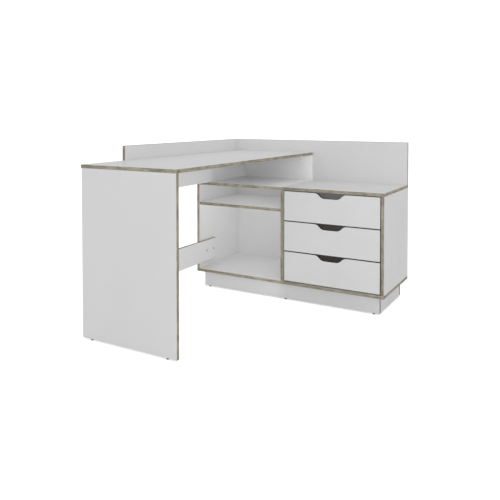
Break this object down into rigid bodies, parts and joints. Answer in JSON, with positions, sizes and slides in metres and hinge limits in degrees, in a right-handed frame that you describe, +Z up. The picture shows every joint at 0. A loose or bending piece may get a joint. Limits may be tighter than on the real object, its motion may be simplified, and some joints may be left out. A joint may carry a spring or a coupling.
{
  "type": "corner desk",
  "caption": "L-shaped flat-pack desk: a low cabinet with an open bay and drawers carries one end of a desktop, an end panel the other; screens stand at the rear.",
  "frame": {"origin": "centre of the desk's bounding box, on the floor", "axes": "+Z up; +Y to the wall behind the cabinet, along the desktop; +X to the right along the cabinet"},
  "size_m": [1.068, 1.311, 0.818],
  "materials": {
    "white_melamine": "white melamine-faced particle board, fine satin texture",
    "white_drawer_board": "white foil-wrapped particle board",
    "white_hardboard": "thin hardboard, white lacquer on the inner face",
    "oak_edge_band": "edge band printed with a weathered oak grain",
    "white_nylon": "moulded nylon",
    "white_enamelled_steel": "white epoxy enamel on rolled steel",
    "zinc_plated_steel": "bright zinc plating",
    "cast_zinc": "die-cast zinc",
    "black_nylon": "moulded black nylon",
    "white_plastic": "moulded white plastic"
  },
  "bodies": {
    "desk": {"apron_rail": "white_melamine", "cabinet_back_panel": "white_hardboard", "cabinet_board_edge_bands": "oak_edge_band", "cabinet_bottom": "white_melamine", "cabinet_divider": "white_melamine", "cabinet_left_side": "white_melamine", "cabinet_right_side": "white_melamine", "cabinet_shelf": "white_melamine", "cabinet_top": "white_melamine", "cabinet_upright_edge_bands": "oak_edge_band", "cam_bolts": "zinc_plated_steel", "cam_locks": "cast_zinc", "corner_brackets": "white_plastic", "desktop": "white_melamine", "desktop_edge_bands": "oak_edge_band", "drawer_1_cabinet_runners": "white_enamelled_steel", "drawer_2_cabinet_runners": "white_enamelled_steel", "drawer_3_cabinet_runners": "white_enamelled_steel", "end_panel": "white_melamine", "end_panel_edge_bands": "oak_edge_band", "glide_feet": "black_nylon", "plinth_front": "white_melamine", "plinth_left": "white_melamine", "plinth_rear": "white_melamine", "plinth_right": "white_melamine", "rear_screen": "white_melamine", "screen_edge_bands": "oak_edge_band", "shelf_pins": "zinc_plated_steel", "stretcher": "white_melamine", "stretcher_bolts": "zinc_plated_steel", "stretcher_edge_bands": "oak_edge_band", "upstand": "white_melamine", "wood_screws": "zinc_plated_steel"},
    "drawer_1": {"drawer_1_front": "white_melamine", "drawer_1_left_side": "white_drawer_board", "drawer_1_right_side": "white_drawer_board", "drawer_1_back": "white_drawer_board", "drawer_1_bottom": "white_hardboard", "drawer_1_runners": "white_enamelled_steel", "drawer_1_fasteners": "zinc_plated_steel"},
    "drawer_1_front_rollers": {"drawer_1_cabinet_rollers": "white_nylon"},
    "drawer_1_rear_rollers": {"drawer_1_runner_rollers": "white_nylon"},
    "drawer_2": {"drawer_2_front": "white_melamine", "drawer_2_left_side": "white_drawer_board", "drawer_2_right_side": "white_drawer_board", "drawer_2_back": "white_drawer_board", "drawer_2_bottom": "white_hardboard", "drawer_2_runners": "white_enamelled_steel", "drawer_2_fasteners": "zinc_plated_steel"},
    "drawer_2_front_rollers": {"drawer_2_cabinet_rollers": "white_nylon"},
    "drawer_2_rear_rollers": {"drawer_2_runner_rollers": "white_nylon"},
    "drawer_3": {"drawer_3_front": "white_melamine", "drawer_3_left_side": "white_drawer_board", "drawer_3_right_side": "white_drawer_board", "drawer_3_back": "white_drawer_board", "drawer_3_bottom": "white_hardboard", "drawer_3_runners": "white_enamelled_steel", "drawer_3_fasteners": "zinc_plated_steel"},
    "drawer_3_front_rollers": {"drawer_3_cabinet_rollers": "white_nylon"},
    "drawer_3_rear_rollers": {"drawer_3_runner_rollers": "white_nylon"}
  },
  "joints": [
    {"name": "drawer_1_slide", "type": "slide", "parent": "desk", "child": "drawer_1", "axis": [0, -1, 0], "range_m": [0, 0.27]},
    {"name": "drawer_1_front_roller_spin", "type": "hinge", "parent": "desk", "child": "drawer_1_front_rollers", "pos_m": [0, 0.2625, 0.127], "axis": [1, 0, 0], "range_deg": [0, 1820]},
    {"name": "drawer_1_rear_roller_spin", "type": "hinge", "parent": "drawer_1", "child": "drawer_1_rear_rollers", "pos_m": [0, 0.5865, 0.127], "axis": [1, 0, 0], "range_deg": [0, 1820]},
    {"name": "drawer_2_slide", "type": "slide", "parent": "desk", "child": "drawer_2", "axis": [0, -1, 0], "range_m": [0, 0.27]},
    {"name": "drawer_2_front_roller_spin", "type": "hinge", "parent": "desk", "child": "drawer_2_front_rollers", "pos_m": [0, 0.2625, 0.283], "axis": [1, 0, 0], "range_deg": [0, 1820]},
    {"name": "drawer_2_rear_roller_spin", "type": "hinge", "parent": "drawer_2", "child": "drawer_2_rear_rollers", "pos_m": [0, 0.5865, 0.283], "axis": [1, 0, 0], "range_deg": [0, 1820]},
    {"name": "drawer_3_slide", "type": "slide", "parent": "desk", "child": "drawer_3", "axis": [0, -1, 0], "range_m": [0, 0.27]},
    {"name": "drawer_3_front_roller_spin", "type": "hinge", "parent": "desk", "child": "drawer_3_front_rollers", "pos_m": [0, 0.2625, 0.439], "axis": [1, 0, 0], "range_deg": [0, 1820]},
    {"name": "drawer_3_rear_roller_spin", "type": "hinge", "parent": "drawer_3", "child": "drawer_3_rear_rollers", "pos_m": [0, 0.5865, 0.439], "axis": [1, 0, 0], "range_deg": [0, 1820]}
  ],
  "couplings": [
    {"joint": "drawer_1_front_roller_spin", "follows": "drawer_1_slide", "rad_per_m": 117.65},
    {"joint": "drawer_1_rear_roller_spin", "follows": "drawer_1_slide", "rad_per_m": 117.65},
    {"joint": "drawer_2_front_roller_spin", "follows": "drawer_2_slide", "rad_per_m": 117.65},
    {"joint": "drawer_2_rear_roller_spin", "follows": "drawer_2_slide", "rad_per_m": 117.65},
    {"joint": "drawer_3_front_roller_spin", "follows": "drawer_3_slide", "rad_per_m": 117.65},
    {"joint": "drawer_3_rear_roller_spin", "follows": "drawer_3_slide", "rad_per_m": 117.65}
  ]
}
